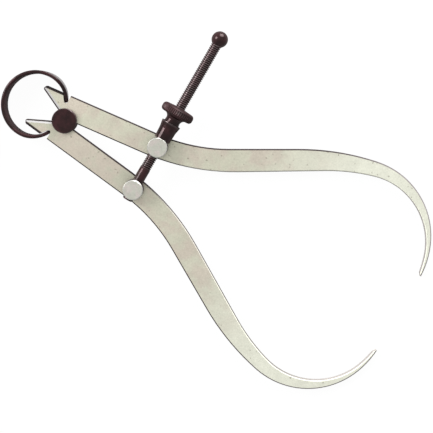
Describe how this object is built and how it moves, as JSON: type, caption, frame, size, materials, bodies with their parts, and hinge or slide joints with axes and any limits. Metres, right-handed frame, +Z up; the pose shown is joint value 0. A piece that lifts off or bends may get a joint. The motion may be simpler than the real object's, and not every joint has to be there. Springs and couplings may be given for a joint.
{
  "type": "outside caliper",
  "caption": "Spring outside caliper: bowed legs on a spool-shaped fulcrum stud, a ring-shaped bow spring, and an adjusting screw with a knurled nut across the legs.",
  "frame": {"origin": "centre of the fulcrum stud's back face", "axes": "+X from the fulcrum along the line of symmetry towards the gauging tips, tilted by 1.13 degrees because the caliper lies on the edge of its bow spring and on its tips; +Y towards the leg that carries the adjusting nut; +Z up from the table"},
  "size_m": [0.1791, 0.1097, 0.0159],
  "materials": {
    "leg_steel": "satin ground steel, warm light grey",
    "stud_steel": "satin turned steel, light grey",
    "fulcrum_steel": "black oxide with a brown cast",
    "spring_steel": "black oxide, worn on the edges",
    "screw_steel": "black oxide with a purple-brown cast",
    "nut_steel": "black oxide with a red-brown cast, knurled rim"
  },
  "bodies": {
    "head": {"fulcrum_stud": "fulcrum_steel", "bow_spring": "spring_steel"},
    "upper_leg": {"upper_leg": "leg_steel"},
    "lower_leg": {"lower_leg": "leg_steel"},
    "upper_swivel": {"upper_swivel_stud": "stud_steel", "thrust_cone": "nut_steel"},
    "lower_swivel": {"lower_swivel_stud": "stud_steel", "adjusting_screw": "screw_steel", "screw_ball": "screw_steel"},
    "nut": {"adjusting_nut": "nut_steel"}
  },
  "joints": [
    {"name": "upper_leg_hinge", "type": "hinge", "parent": "head", "child": "upper_leg", "pos_m": [0.00006, 0, 0.003], "axis": [0.0197, 0, 0.9998], "range_deg": [-6.3, 23.2], "deforming": ["bow_spring"]},
    {"name": "lower_leg_hinge", "type": "hinge", "parent": "head", "child": "lower_leg", "pos_m": [0.00006, 0, 0.003], "axis": [0.0197, 0, 0.9998], "range_deg": [-23.2, 6.3], "deforming": ["bow_spring"]},
    {"name": "upper_stud_swivel", "type": "hinge", "parent": "upper_leg", "child": "upper_swivel", "pos_m": [0.03694, 0.00954, 0.00227], "axis": [0.0197, 0, 0.9998], "range_deg": [-23.2, 6.3]},
    {"name": "lower_stud_swivel", "type": "hinge", "parent": "lower_leg", "child": "lower_swivel", "pos_m": [0.03694, -0.00954, 0.00227], "axis": [0.0197, 0, 0.9998], "range_deg": [-6.3, 23.2]},
    {"name": "nut_spin", "type": "hinge", "parent": "upper_swivel", "child": "nut", "pos_m": [0.03705, 0.02514, 0.00777], "axis": [0, 1, 0], "range_deg": [-3460, 12745]}
  ],
  "couplings": [
    {"joint": "upper_leg_hinge", "follows": "nut_spin", "ratio": 0.00182},
    {"joint": "lower_leg_hinge", "follows": "nut_spin", "ratio": -0.00182},
    {"joint": "upper_stud_swivel", "follows": "nut_spin", "ratio": -0.00182},
    {"joint": "lower_stud_swivel", "follows": "nut_spin", "ratio": 0.00182}
  ]
}
